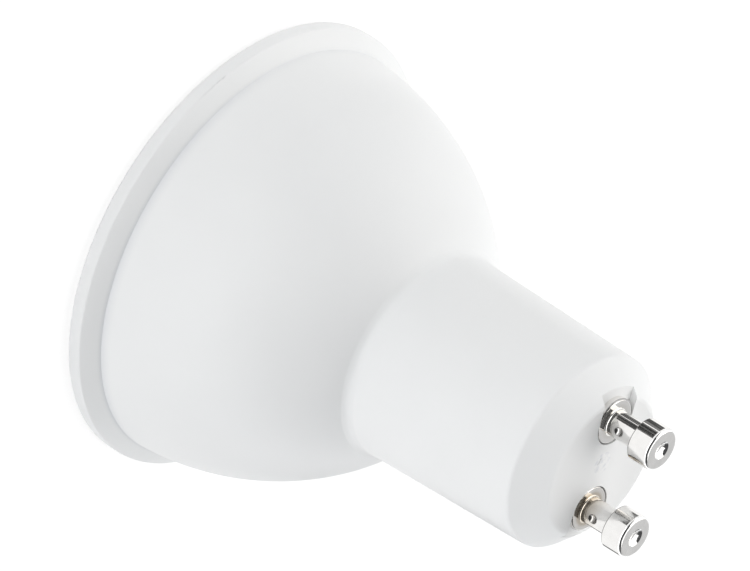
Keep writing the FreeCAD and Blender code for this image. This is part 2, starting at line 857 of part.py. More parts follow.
pin_offset = s.pin_spacing / 2
pieces = [
    make_housing(),
    make_diffuser(),
    make_heat_sink(),
    make_led_board(),
    make_led_chips(),
    make_led_leads(),
    make_driver_board(),
    make_capacitor(),
    make_choke_core(),
    make_choke_winding(),
    make_package(
        "driver_chip", s.driver_chip_length, s.driver_chip_width, s.driver_chip_height, s.driver_chip_span,
        s.driver_chip_pitch, s.driver_chip_lead, DRIVER_CHIP_LEADS_PER_SIDE, driver_chip_z,
    ),
    make_package(
        "bridge_rectifier", s.rectifier_length, s.rectifier_width, s.rectifier_height, s.rectifier_span,
        s.rectifier_pitch, s.rectifier_lead, RECTIFIER_LEADS_PER_SIDE, rectifier_z,
    ),
    make_fuse_resistor(),
    make_chip_resistors(),
]
for side, x in (("right", pin_offset), ("left", -pin_offset)):
    pieces.append(make_mains_wire(f"mains_wire_{side}", x))
    pieces.append(make_contact_pin(f"contact_pin_{side}", x))

doc.recompute()
for item in doc.Objects:
    if "Invalid" in item.State or "Error" in item.State:
        raise RuntimeError(f"{item.Name} did not build")
for piece in pieces:
    if piece.Shape.isNull() or not piece.Shape.isValid():
        raise RuntimeError(f"{piece.Label} has no valid shape")

os.makedirs("parts", exist_ok=True)
for piece in pieces:
    piece.Shape.exportStep(f"parts/{piece.Label}.step")
    box = piece.Shape.BoundBox
    corners = [round(value, 2) for value in (box.XMin, box.YMin, box.ZMin, box.XMax, box.YMax, box.ZMax)]
    print(piece.Label, len(piece.Shape.Solids), round(piece.Shape.Volume, 2), corners)
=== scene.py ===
import math

import bmesh
import bpy
from mathutils import Matrix, Vector, noise


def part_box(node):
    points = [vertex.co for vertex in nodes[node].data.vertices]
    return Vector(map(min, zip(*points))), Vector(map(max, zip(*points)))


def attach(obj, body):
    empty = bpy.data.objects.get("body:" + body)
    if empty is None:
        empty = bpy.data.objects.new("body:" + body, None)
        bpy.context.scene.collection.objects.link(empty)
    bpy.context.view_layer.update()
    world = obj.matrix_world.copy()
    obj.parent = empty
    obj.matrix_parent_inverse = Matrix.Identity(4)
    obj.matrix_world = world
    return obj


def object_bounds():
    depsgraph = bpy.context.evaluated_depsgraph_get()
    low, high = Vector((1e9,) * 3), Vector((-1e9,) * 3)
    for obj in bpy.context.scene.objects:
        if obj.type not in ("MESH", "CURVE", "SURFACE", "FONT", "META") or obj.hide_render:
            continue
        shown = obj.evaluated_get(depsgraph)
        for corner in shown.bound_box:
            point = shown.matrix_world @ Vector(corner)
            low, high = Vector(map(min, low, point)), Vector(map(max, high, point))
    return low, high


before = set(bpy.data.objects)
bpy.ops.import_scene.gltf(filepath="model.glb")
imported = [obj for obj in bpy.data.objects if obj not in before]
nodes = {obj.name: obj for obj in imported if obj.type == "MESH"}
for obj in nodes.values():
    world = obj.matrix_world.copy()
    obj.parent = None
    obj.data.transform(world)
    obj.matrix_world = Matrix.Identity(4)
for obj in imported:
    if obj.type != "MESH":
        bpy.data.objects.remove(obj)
cad_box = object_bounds()

MM = 0.001

# Where the photograph was taken from: lengths in metres, places in pixels of the picture
IMAGE_WIDTH = 750
IMAGE_HEIGHT = 571
SENSOR_WIDTH_MM = 36.0
CAMERA_DISTANCE = 0.8
CLIP_START = 0.05
CLIP_END = 20.0
PIXELS_PER_METRE = 9730.0
FRONT_CENTRE_PIXEL = (236.7, 239.0)

# How the lamp lies in the picture: its axis's fall to the right, its lean to the camera, its pins' turn
AXIS_FALL = math.radians(31.65)
AXIS_LEAN = math.radians(31.075)
PIN_TURN = math.radians(-29.0)


def camera_axes():
    """The camera's right, down and forward directions in the lamp's frame."""
    axis = Vector((
        math.cos(AXIS_LEAN) * math.cos(AXIS_FALL),
        math.cos(AXIS_LEAN) * math.sin(AXIS_FALL),
        -math.sin(AXIS_LEAN),
    ))
    across = Vector((math.sin(AXIS_FALL), -math.cos(AXIS_FALL), 0.0))
    away = -axis.cross(across)
    pin_line = math.cos(PIN_TURN) * across + math.sin(PIN_TURN) * away
    lamp_axes = (pin_line, axis.cross(pin_line), axis)
    return [Vector([lamp_axis[i] for lamp_axis in lamp_axes]) for i in range(3)]


RIGHT, DOWN, FORWARD = camera_axes()
UP = Vector((0.0, 0.0, 1.0))
TO_CAMERA = Vector((-FORWARD.x, -FORWARD.y, 0.0)).normalized()
TO_UPPER_RIGHT = TO_CAMERA.cross(UP)


def make_camera():
    """The camera at the photograph's viewing angle."""
    data = bpy.data.cameras.new("camera")
    focal_pixels = PIXELS_PER_METRE * CAMERA_DISTANCE
    data.sensor_width = SENSOR_WIDTH_MM
    data.lens = focal_pixels / IMAGE_WIDTH * SENSOR_WIDTH_MM
    data.clip_start = CLIP_START
    data.clip_end = CLIP_END
    offset_x = (FRONT_CENTRE_PIXEL[0] - IMAGE_WIDTH / 2) / PIXELS_PER_METRE
    offset_y = (FRONT_CENTRE_PIXEL[1] - IMAGE_HEIGHT / 2) / PIXELS_PER_METRE
    place = -(RIGHT * offset_x + DOWN * offset_y + FORWARD * CAMERA_DISTANCE)
    camera = bpy.data.objects.new("camera", data)
    camera.matrix_world = Matrix((
        (RIGHT.x, -DOWN.x, -FORWARD.x, place.x),
        (RIGHT.y, -DOWN.y, -FORWARD.y, place.y),
        (RIGHT.z, -DOWN.z, -FORWARD.z, place.z),
        (0.0, 0.0, 0.0, 1.0),
    ))
    bpy.context.scene.collection.objects.link(camera)
    bpy.context.scene.camera = camera


# Ranges that most of a cloudy noise lies in, wide and narrow, and its mean
NOISE_RANGE = (0.3, 0.7)
CLOUD_RANGE = (0.35, 0.65)
NOISE_MEAN = 0.5

# Where a Mix node keeps its factor, its two colours and their blend
MIX_INPUTS = (0, 6, 7)
MIX_OUTPUT = 2

# Where a new stop of a colour ramp starts, before it is moved to its place
NEW_STOP = 0.5


class Finish:
    """A node material in the making. Its coordinates are the part's own, in metres."""

    def __init__(self, name, **constants):
        self.material = bpy.data.materials.new(name)
        self.material.use_nodes = True
        self.tree = self.material.node_tree
        self.shader = self.tree.nodes["Principled BSDF"]
        self.place = self.tree.nodes.new("ShaderNodeTexCoord").outputs["Object"]
        for socket, value in constants.items():
            self.shader.inputs[socket.replace("_", " ")].default_value = value

    def put(self, node, socket, value):
        """Links an output to a socket, or sets the socket to a constant."""
        if isinstance(value, bpy.types.NodeSocket):
            self.tree.links.new(value, node.inputs[socket])
        else:
            node.inputs[socket].default_value = value

    def shade(self, socket, value):
        """Links an output to a socket of the main shader."""
        self.tree.links.new(value, self.shader.inputs[socket])

    def math(self, operation, *values):
        """One sum on numbers."""
        node = self.tree.nodes.new("ShaderNodeMath")
        node.operation = operation
        for socket, value in enumerate(values):
            self.put(node, socket, value)
        return node.outputs[0]

    def split(self, vector, letter):
        """One part of a vector."""
        node = self.tree.nodes.new("ShaderNodeSeparateXYZ")
        self.put(node, 0, vector)
        return node.outputs[letter]

    def axis(self, letter):
        """One coordinate of the place, in metres."""
        return self.split(self.place, letter)

    def facing(self, letter):
        """One part of the direction that the surface faces, from -1 to 1."""
        geometry = self.tree.nodes.new("ShaderNodeNewGeometry")
        return self.split(geometry.outputs["Normal"], letter)

    def moved(self, centre, scale=(1.0, 1.0, 1.0)):
        """The place measured from a centre and stretched."""
        less = self.tree.nodes.new("ShaderNodeVectorMath")
        less.operation = "SUBTRACT"
        self.put(less, 0, self.place)
        self.put(less, 1, centre)
        times = self.tree.nodes.new("ShaderNodeVectorMath")
        times.operation = "MULTIPLY"
        self.put(times, 0, less.outputs[0])
        self.put(times, 1, scale)
        return times.outputs[0]

    def radius(self, centre, scale=(1.0, 1.0, 0.0)):
        """Distance from an upright axis through a centre, or from the centre with a scale of 1 in Z."""
        node = self.tree.nodes.new("ShaderNodeVectorMath")
        node.operation = "LENGTH"
        self.put(node, 0, self.moved(centre, scale))
        return node.outputs["Value"]

    def noise(self, lump, detail=2.0, place=None):
        """Cloudy noise from 0 to 1 with lumps of the given size in metres."""
        node = self.tree.nodes.new("ShaderNodeTexNoise")
        self.put(node, "Vector", place or self.place)
        self.put(node, "Scale", 1.0 / lump)
        self.put(node, "Detail", detail)
        return node.outputs["Fac"]

    def cells(self, size, feature="F1"):
        """Distance to the nearest of scattered points, or to the border between two of them."""
        node = self.tree.nodes.new("ShaderNodeTexVoronoi")
        node.feature = feature
        self.put(node, "Vector", self.place)
        self.put(node, "Scale", 1.0 / size)
        return node.outputs["Distance"]

    def waves(self, along, pitch):
        """A ripple from 0 to 1 along a coordinate."""
        turns = self.math("MULTIPLY", along, 2.0 * math.pi / pitch)
        half = 0.5
        return self.math("MULTIPLY_ADD", self.math("SINE", turns), half, half)

    def ramp(self, factor, *stops, interpolation="LINEAR"):
        """Colours at places along a factor."""
        node = self.tree.nodes.new("ShaderNodeValToRGB")
        self.put(node, 0, factor)
        bar = node.color_ramp
        bar.interpolation = interpolation
        while len(bar.elements) < len(stops):
            bar.elements.new(NEW_STOP)
        for element, (position, colour) in zip(bar.elements, stops):
            element.position = position
            element.color = (*colour, 1.0)
        return node.outputs["Color"]

    def tint(self, factor, dark, light, ends=NOISE_RANGE):
        """A colour that goes from dark to light as a factor rises."""
        return self.ramp(factor, (ends[0], dark), (ends[1], light))

    def span(self, value, low, high, low_out, high_out):
        """Maps a range of numbers onto another."""
        node = self.tree.nodes.new("ShaderNodeMapRange")
        for socket, number in enumerate((value, low, high, low_out, high_out)):
            self.put(node, socket, number)
        return node.outputs[0]

    def rising(self, value, ends):
        """0 below a range, 1 above it."""
        return self.span(value, *ends, 0.0, 1.0)

    def falling(self, value, ends):
        """1 below a range, 0 above it."""
        return self.span(value, *ends, 1.0, 0.0)

    def band(self, value, ends, soft):
        """1 between two numbers and 0 outside them, with soft edges."""
        low, high = ends
        above = self.rising(value, (low - soft, low))
        below = self.falling(value, (high, high + soft))
        return self.math("MULTIPLY", above, below)

    def mix(self, factor, first, second):
        """Blends two colours."""
        node = self.tree.nodes.new("ShaderNodeMix")
        node.data_type = "RGBA"
        for socket, value in zip(MIX_INPUTS, (factor, first, second)):
            if isinstance(value, tuple):
                value = (*value, 1.0)
            self.put(node, socket, value)
        return node.outputs[MIX_OUTPUT]

    def roughen(self, factor, low, high):
        """Sets a roughness that goes from one number to another as a noise rises."""
        self.shade("Roughness", self.span(factor, *NOISE_RANGE, low, high))

    def bump(self, *layers):
        """Stacks bumps, each a height from 0 to 1 with its depth in metres."""
        normal = None
        for height, depth in layers:
            node = self.tree.nodes.new("ShaderNodeBump")
            self.put(node, "Height", height)
            self.put(node, "Distance", depth)
            if normal:
                self.put(node, "Normal", normal)
            normal = node.outputs["Normal"]
        self.shade("Normal", normal)


PLASTIC_IOR = 1.47
MASK_IOR = 1.5

# Shade painted into the corner at the bowl's foot, stronger on one side: heights over the foot, and where
# along Y it grows strong
BOWL_FOOT_HEIGHT = 3.35 * MM
SHADE_UP = 1.3 * MM
SHADE_DOWN = 0.35 * MM
SHADE_FALLOFF = 2.0
SHADE_SIDE = (6 * MM, 17 * MM)
SHADE_LEAST = 0.3
# Grey of the shade painted into the corner at the bowl's foot
FOOT_SHADE_GREY = (0.74, 0.75, 0.767)

# Floors of the pins' notches, painted lighter as light: flat, facing up and lower than the end face
NOTCH_FACING = (0.9, 0.97)
NOTCH_HEIGHTS = (49.9 * MM, 50.1 * MM)
# White painted on the notch floors as light
NOTCH_PAINTED_WHITE = (0.93, 0.935, 0.935)

# Scuff along the rim's back edge, and shade painted into the seam's gap at its front: angles are round
# the lamp's axis, in radians
RIM_EDGE_HEIGHT = 1.95 * MM
SCUFF_ANGLES = (math.radians(29.4), math.radians(36.0))
SCUFF_ANGLE_SOFT = 0.03
SCUFF_HALF_WIDTHS = (0.02 * MM, 0.10 * MM)
SCUFF_STRENGTH = 0.5
SCUFF_FADED = 0.2
SCUFF_JAG = 0.12 * MM
SPECK_RANGE = (0.42, 0.58)
SPECK_LEAST = 0.6
SEAM_HEIGHTS = (0.30 * MM, 0.51 * MM)
SEAM_SOFT = 0.03 * MM
SEAM_SHADE_STRENGTH = 0.7
# Grey of the scuff, and of the shade painted into the seam
MARK_AND_SHADE_GREY = (0.50, 0.50, 0.51)


def foot_painted_shade(finish):
    """How strongly shade is painted into the corner between the rim's bevel and the bowl."""
    above_foot = finish.math("SUBTRACT", finish.axis("Z"), BOWL_FOOT_HEIGHT)
    on_bowl = finish.falling(above_foot, (0.0, SHADE_UP))
    on_bevel = finish.rising(above_foot, (-SHADE_DOWN, 0.0))
    painted_shade = finish.math("POWER", finish.math("MINIMUM", on_bowl, on_bevel), SHADE_FALLOFF)
    shade_strength = finish.span(finish.axis("Y"), *SHADE_SIDE, SHADE_LEAST, 1.0)
    return finish.math("MULTIPLY", painted_shade, shade_strength)


def notch_floor_light(finish):
    """1 on the floors of the pins' notches, where light is painted."""
    flat = finish.rising(finish.facing("Z"), NOTCH_FACING)
    return finish.math("MULTIPLY", flat, finish.falling(finish.axis("Z"), NOTCH_HEIGHTS))


def rim_scuff(finish):
    """A thin uneven line along the rim's back edge, which fades along its length."""
    waver = finish.math("SUBTRACT", finish.noise(lump=0.5 * MM, detail=4.0), NOISE_MEAN)
    jag = finish.math("MULTIPLY", waver, SCUFF_JAG)
    above_edge = finish.math("SUBTRACT", finish.axis("Z"), RIM_EDGE_HEIGHT)
    off_line = finish.math("ABSOLUTE", finish.math("ADD", above_edge, jag))
    line = finish.span(off_line, *SCUFF_HALF_WIDTHS, SCUFF_STRENGTH, 0.0)
    angle = finish.math("ARCTAN2", finish.axis("Y"), finish.axis("X"))
    scuff = finish.math("MULTIPLY", line, finish.band(angle, SCUFF_ANGLES, SCUFF_ANGLE_SOFT))
    fade = finish.span(angle, *SCUFF_ANGLES, 1.0, SCUFF_FADED)
    specks = finish.noise(lump=0.3 * MM, detail=3.0)
    specks = finish.span(specks, *SPECK_RANGE, SPECK_LEAST, 1.0)
    return finish.math("MULTIPLY", finish.math("MULTIPLY", scuff, fade), specks)


def rim_seam_shade(finish):
    """Painted shade: a dark line round the rim's front, in the gap where the cover meets the housing."""
    seam = finish.band(finish.axis("Z"), SEAM_HEIGHTS, SEAM_SOFT)
    return finish.math("MULTIPLY", seam, SEAM_SHADE_STRENGTH)


def housing_finish():
    """White moulded plastic: slow flow clouds, faint sink waves, a fine satin grain and a small scuff,
    with painted shade at the bowl's foot and the rim's seam, and painted light on the notch floors.
    """
    finish = Finish("white_plastic", IOR=PLASTIC_IOR)
    clouds = finish.noise(lump=16 * MM)
    white = finish.tint(clouds, dark=(0.850, 0.855, 0.856), light=(0.868, 0.872, 0.871), ends=CLOUD_RANGE)
    # Painted light: the notch floors are made whiter
    white = finish.mix(notch_floor_light(finish), white, NOTCH_PAINTED_WHITE)
    # Painted shade in the corner at the bowl's foot
    white = finish.mix(foot_painted_shade(finish), white, FOOT_SHADE_GREY)
    # A scuff mark, and painted shade in the seam's gap
    marks_and_seam_shade = finish.math("MAXIMUM", rim_scuff(finish), rim_seam_shade(finish))
    finish.shade("Base Color", finish.mix(marks_and_seam_shade, white, MARK_AND_SHADE_GREY))
    smears = finish.noise(lump=6 * MM, detail=4.0)
    finish.roughen(smears, low=0.38, high=0.47)
    sinks = finish.noise(lump=8 * MM, detail=1.0)
    grain = finish.noise(lump=0.22 * MM, detail=3.0)
    finish.bump((sinks, 0.012 * MM), (grain, 0.0012 * MM))
    return finish.material


def diffuser_finish():
    """Milky plastic with a frosted face, which lets some light through."""
    finish = Finish("milky_plastic", IOR=1.49, Transmission_Weight=0.22)
    clouds = finish.noise(lump=9 * MM)
    milk = finish.tint(clouds, dark=(0.880, 0.880, 0.862), light=(0.900, 0.900, 0.886), ends=CLOUD_RANGE)
    finish.shade("Base Color", milk)
    finish.roughen(finish.noise(lump=0.6 * MM, detail=3.0), low=0.40, high=0.52)
    frost = finish.noise(lump=0.35 * MM)
    finish.bump((frost, 0.006 * MM))
    return finish.material


# Places on the pins: heights in the part's frame, reaches from a pin's own axis
PIN_X = 5 * MM
CRIMP_Y = 1.725 * MM
CRIMP_HEIGHT = 52.09 * MM
CRIMP_REACH = (0.56 * MM, 0.68 * MM)
# How dark the shade painted into the crimp is
CRIMP_PAINTED_SHADE = 0.8
SHANK_REACH = (1.75 * MM, 2.1 * MM)
ROOT_HEIGHTS = (51.3 * MM, 53.1 * MM)
ROOT_UNEVEN = 0.8 * MM
FLANGE_WARMTH = 0.25
FLANGE_EDGE_REACH = (2.36 * MM, 2.44 * MM)
FLANGE_EDGE_HEIGHTS = (50.26 * MM, 50.5 * MM)
# How dark the reflection painted on the flange's edge is
FLANGE_EDGE_PAINTED_REFLECTION = 0.65
HEAD_EDGE_REACH = (2.15 * MM, 2.25 * MM)
HEAD_EDGE_HEIGHTS = (54.0 * MM, 54.2 * MM)
# How dark the reflection painted on the head's edge is
HEAD_EDGE_PAINTED_REFLECTION = 0.75
EDGE_SOFT = 0.05 * MM

# Colours of the pins
PLATE_DARK = (0.83, 0.82, 0.805)
PLATE_LIGHT = (0.89, 0.88, 0.865)
# Dark painted as shade in the crimps and as reflections on the edges of the flanges and heads
PAINTED_DARK_GREY = (0.17, 0.165, 0.16)
ROOT_LEFT = (0.62, 0.56, 0.48)
ROOT_RIGHT = (0.78, 0.76, 0.73)

# How rough the pins are, and how much smoother and rougher their blotches get
PIN_ROUGHNESS_LEFT = 0.12
PIN_ROUGHNESS_RIGHT = 0.07
BLOTCH_ROUGHNESS = (0.8, 1.3)


def edge_painted_reflection(finish, reach, edge_reach, edge_heights, strength):
    """A painted dark reflection on a round edge: past a reach and between two heights."""
    past = finish.span(reach, *edge_reach, 0.0, strength)
    return finish.math("MULTIPLY", past, finish.band(finish.axis("Z"), edge_heights, EDGE_SOFT))


def pin_finish(name, centre_x, roughness, root_colour):
    """Bright nickel plate over turned brass, with the lathe's rings, a warm root, shade painted into the
    crimp and dark reflections painted on the flange's and head's edges.
    """
    finish = Finish(name, Metallic=1.0)
    centre = (centre_x, 0.0, 0.0)
    reach = finish.radius(centre)
    blotches = finish.noise(lump=1.1 * MM, detail=3.0)
    plate = finish.tint(blotches, PLATE_DARK, PLATE_LIGHT)
    uneven = finish.math("MULTIPLY", blotches, ROOT_UNEVEN)
    height = finish.math("ADD", finish.axis("Z"), uneven)
    on_shank = finish.span(reach, *SHANK_REACH, 1.0, FLANGE_WARMTH)
    warm = finish.math("MULTIPLY", on_shank, finish.falling(height, ROOT_HEIGHTS))
    from_crimp = finish.radius((centre_x, CRIMP_Y, CRIMP_HEIGHT), scale=(1.0, 1.0, 1.0))
    # Painted shade in the crimp
    in_crimp = finish.span(from_crimp, *CRIMP_REACH, CRIMP_PAINTED_SHADE, 0.0)
    # Painted dark reflections on the edges of the flange and the head
    on_flange = edge_painted_reflection(finish, reach, FLANGE_EDGE_REACH, FLANGE_EDGE_HEIGHTS, FLANGE_EDGE_PAINTED_REFLECTION)
    on_head = edge_painted_reflection(finish, reach, HEAD_EDGE_REACH, HEAD_EDGE_HEIGHTS, HEAD_EDGE_PAINTED_REFLECTION)
    painted_dark = finish.math("MAXIMUM", in_crimp, finish.math("MAXIMUM", on_flange, on_head))
    metal = finish.mix(warm, plate, root_colour)
    finish.shade("Base Color", finish.mix(painted_dark, metal, PAINTED_DARK_GREY))
    smoother, rougher = BLOTCH_ROUGHNESS
    finish.roughen(blotches, low=roughness * smoother, high=roughness * rougher)
    rings = finish.waves(reach, pitch=0.07 * MM)
    around = finish.moved(centre, scale=(0.4, 0.4, 9.0))
    turning = finish.noise(lump=0.5 * MM, detail=3.0, place=around)
    pits = finish.rising(finish.cells(size=0.32 * MM), ends=(0.05, 0.16))
    finish.bump((rings, 0.0003 * MM), (turning, 0.0008 * MM), (pits, 0.0010 * MM))
    return finish.material


ORIGIN = (0.0, 0.0, 0.0)


def heat_sink_finish():
    """Spun aluminium sheet, with fine marks round its axis."""
    finish = Finish("spun_aluminium", Metallic=1.0)
    around = finish.moved(ORIGIN, scale=(0.1, 0.1, 4.0))
    spun = finish.noise(lump=0.3 * MM, detail=3.0, place=around)
    colour = finish.tint(spun, dark=(0.72, 0.73, 0.74), light=(0.80, 0.81, 0.82))
    finish.shade("Base Color", colour)
    finish.roughen(spun, low=0.26, high=0.42)
    finish.bump((spun, 0.004 * MM))
    return finish.material


def led_board_finish():
    """White mask over ring-shaped tracks."""
    finish = Finish("white_mask", IOR=MASK_IOR)
    ripples = finish.waves(finish.radius(ORIGIN), pitch=4.0 * MM)
    tracks = finish.rising(ripples, ends=(0.42, 0.52))
    specks = finish.noise(lump=0.4 * MM, detail=3.0)
    white = finish.tint(specks, dark=(0.86, 0.86, 0.84), light=(0.91, 0.91, 0.89))
    show_through = 0.25
    copper_tint = (0.78, 0.77, 0.71)
    shown = finish.math("MULTIPLY", tracks, show_through)
    finish.shade("Base Color", finish.mix(shown, white, copper_tint))
    finish.roughen(specks, low=0.3, high=0.42)
    finish.bump((tracks, 0.02 * MM), (specks, 0.002 * MM))
    return finish.material


def led_chip_finish():
    """White case with yellow phosphor on the side that gives the light."""
    finish = Finish("phosphor", IOR=MASK_IOR)
    front = finish.falling(finish.facing("Z"), ends=(-0.9, -0.6))
    grains = finish.noise(lump=0.12 * MM, detail=3.0)
    case_white = (0.88, 0.88, 0.85)
    yellow = finish.tint(grains, dark=(0.84, 0.66, 0.16), light=(0.93, 0.78, 0.30))
    finish.shade("Base Color", finish.mix(front, case_white, yellow))
    finish.roughen(grains, low=0.35, high=0.55)
    finish.bump((grains, 0.006 * MM))
    return finish.material


def driver_board_finish():
    """Green mask over copper tracks and woven glass."""
    finish = Finish("green_mask", IOR=MASK_IOR)
    tracks = finish.falling(finish.cells(size=2.6 * MM, feature="DISTANCE_TO_EDGE"), ends=(0.06, 0.10))
    weave = finish.noise(lump=0.3 * MM)
    mask = finish.tint(weave, dark=(0.035, 0.20, 0.075), light=(0.055, 0.27, 0.11))
    over_copper = (0.10, 0.36, 0.15)
    finish.shade("Base Color", finish.mix(tracks, mask, over_copper))
    finish.roughen(weave, low=0.28, high=0.4)
    finish.bump((tracks, 0.03 * MM), (weave, 0.004 * MM))
    return finish.material


def capacitor_finish():
    """Dark shrink sleeve with a pale stripe down one side."""
    finish = Finish("shrink_sleeve", IOR=MASK_IOR)
    upright = finish.moved(ORIGIN, scale=(1.0, 1.0, 0.3))
    wrinkles = finish.noise(lump=1.4 * MM, detail=3.0, place=upright)
    sleeve = finish.tint(wrinkles, dark=(0.028, 0.035, 0.07), light=(0.05, 0.06, 0.11))
    near_middle = finish.falling(finish.math("ABSOLUTE", finish.axis("X")), ends=(0.8 * MM, 0.9 * MM))
    outer_side = finish.rising(finish.axis("Y"), ends=(5.2 * MM, 5.3 * MM))
    stripe = finish.math("MULTIPLY", near_middle, outer_side)
    stripe_grey = (0.55, 0.58, 0.63)
    finish.shade("Base Color", finish.mix(stripe, sleeve, stripe_grey))
    finish.roughen(wrinkles, low=0.28, high=0.42)
    finish.bump((wrinkles, 0.03 * MM))
    return finish.material


def ferrite_finish():
    """Sintered ferrite: dark grey, fine-grained, slightly pitted."""
    finish = Finish("sintered_ferrite")
    grains = finish.noise(lump=0.2 * MM, detail=4.0)
    pits = finish.rising(finish.cells(size=0.5 * MM), ends=(0.1, 0.3))
    colour = finish.tint(grains, dark=(0.085, 0.085, 0.092), light=(0.15, 0.15, 0.16))
    finish.shade("Base Color", colour)
    finish.roughen(grains, low=0.5, high=0.72)
    finish.bump((grains, 0.01 * MM), (pits, 0.012 * MM))
    return finish.material


def winding_finish():
    """Turns of enamelled copper wire, side by side."""
    finish = Finish("enamelled_copper", Metallic=0.85)
    turns = finish.waves(finish.axis("Y"), pitch=0.31 * MM)
    copper = finish.tint(turns, dark=(0.30, 0.11, 0.045), light=(0.76, 0.36, 0.17), ends=(0.0, 1.0))
    finish.shade("Base Color", copper)
    finish.shade("Roughness", finish.span(turns, low=0.0, high=1.0, low_out=0.42, high_out=0.22))
    finish.bump((turns, 0.11 * MM))
    return finish.material


def package_finish():
    """Moulded black epoxy with a dull grain."""
    finish = Finish("moulded_epoxy", IOR=1.52)
    grains = finish.noise(lump=0.1 * MM, detail=3.0)
    colour = finish.tint(grains, dark=(0.022, 0.022, 0.026), light=(0.04, 0.04, 0.046))
    finish.shade("Base Color", colour)
    finish.roughen(grains, low=0.48, high=0.64)
    finish.bump((grains, 0.006 * MM))
    return finish.material


RESISTOR_HALF = 2.9 * MM


def resistor_finish():
    """Lacquered resistor with colour bands round its length."""
    finish = Finish("lacquer", IOR=MASK_IOR, Coat_Weight=0.3)
    length = finish.rising(finish.axis("X"), (-RESISTOR_HALF, RESISTOR_HALF))
    body = (0.33, 0.49, 0.54)
    brown = (0.30, 0.12, 0.05)
    black = (0.02, 0.02, 0.02)
    gold = (0.60, 0.42, 0.12)
    bands = (
        (0.0, body),
        (0.22, brown),
        (0.29, body),
        (0.40, black),
        (0.47, body),
        (0.56, black),
        (0.63, body),
        (0.78, gold),
        (0.85, body),
    )
    finish.shade("Base Color", finish.ramp(length, *bands, interpolation="CONSTANT"))
    flow = finish.noise(lump=0.7 * MM)
    finish.roughen(flow, low=0.2, high=0.34)
    finish.bump((flow, 0.02 * MM))
    return finish.material


def wire_finish():
    """Tinned copper wire with drawn marks."""
    finish = Finish("tinned_copper", Metallic=1.0)
    upright = finish.moved(ORIGIN, scale=(3.0, 3.0, 0.2))
    drawn = finish.noise(lump=0.25 * MM, detail=3.0, place=upright)
    colour = finish.tint(drawn, dark=(0.74, 0.66, 0.56), light=(0.84, 0.78, 0.70))
    finish.shade("Base Color", colour)
    finish.roughen(drawn, low=0.22, high=0.36)
    finish.bump((drawn, 0.004 * MM))
    return finish.material


def dress(material, *names):
    """Gives solids a material and smooth shading."""
    for name in names:
        mesh = nodes[name].data
        mesh.materials.clear()
        mesh.materials.append(material)
        mesh.polygons.foreach_set("use_smooth", [True] * len(mesh.polygons))


def add_piece(name, build, material):
    """Makes a piece of the lamp from a finished bmesh."""
    mesh = bpy.data.meshes.new(name)
    bmesh.ops.recalc_face_normals(build, faces=build.faces)
    build.to_mesh(mesh)
    build.free()
    mesh.materials.append(material)
    piece = bpy.data.objects.new(name, mesh)
    bpy.context.scene.collection.objects.link(piece)
    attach(piece, "root")


# Mark left by the mould's gate, which closes the recess in the end face: places in the part's frame
GATE_CENTRE = Vector((0.33 * MM, 0.15 * MM))
GATE_HALF = 1.4 * MM
GATE_HEIGHT = 0.06 * MM
GATE_TURN = math.radians(-31.7)
GATE_STEPS = 56
GATE_FOOT = 0.1 * MM
SLIT_CENTRE = Vector((0.66 * MM, 0.74 * MM))
SLIT_HALF_WIDTH = 0.19 * MM
SLIT_HALF_LENGTH = 0.50 * MM

# Form of the mark: shares of its half width, then shares of its height
GATE_FLAT = 0.08
GATE_SLOPE = 0.45
GATE_MEAN = 0.55
GATE_ROUGHNESS = 0.4
SLIT_DEPTH = 0.45
GATE_SUNK = 0.01

# Lumps on the mark: their size, how fast the finer ones fade, how much finer each is, and how many
LUMP_SIZE = 0.55 * MM
LUMP_FADE = 1.0
LUMP_FINER = 2.0
LUMP_OCTAVES = 4

# The slit: its groove's share of its half width, and how much of its half length is painted fully dark as
# shade
GROOVE_SHARE = 0.8
SLIT_FULL_SHARE = 0.4
# Grey painted into the slit as shade
SLIT_SHADE_GREY = (0.45, 0.45, 0.46)


def gate_finish():
    """Torn plastic, rougher than the skin round it, with shade painted into its slit."""
    finish = Finish("torn_plastic", IOR=PLASTIC_IOR)
    lumps = finish.noise(lump=0.6 * MM, detail=3.0)
    white = finish.tint(lumps, dark=(0.74, 0.75, 0.775), light=(0.89, 0.892, 0.89), ends=(0.38, 0.58))
    turned = finish.tree.nodes.new("ShaderNodeVectorRotate")
    turned.rotation_type = "Z_AXIS"
    finish.put(turned, "Vector", finish.moved((SLIT_CENTRE.x, SLIT_CENTRE.y, 0.0)))
    finish.put(turned, "Angle", -GATE_TURN)
    along = finish.math("ABSOLUTE", finish.split(turned.outputs[0], "X"))
    across = finish.math("ABSOLUTE", finish.split(turned.outputs[0], "Y"))
    narrow = finish.falling(across, (0.0, SLIT_HALF_WIDTH))
    short = finish.falling(along, (SLIT_HALF_LENGTH * SLIT_FULL_SHARE, SLIT_HALF_LENGTH))
    slit = finish.math("MULTIPLY", narrow, short)
    # Shade painted into the slit
    finish.shade("Base Color", finish.mix(slit, white, SLIT_SHADE_GREY))
    finish.roughen(lumps, low=0.42, high=0.6)
    finish.bump((lumps, 0.03 * MM))
    return finish.material


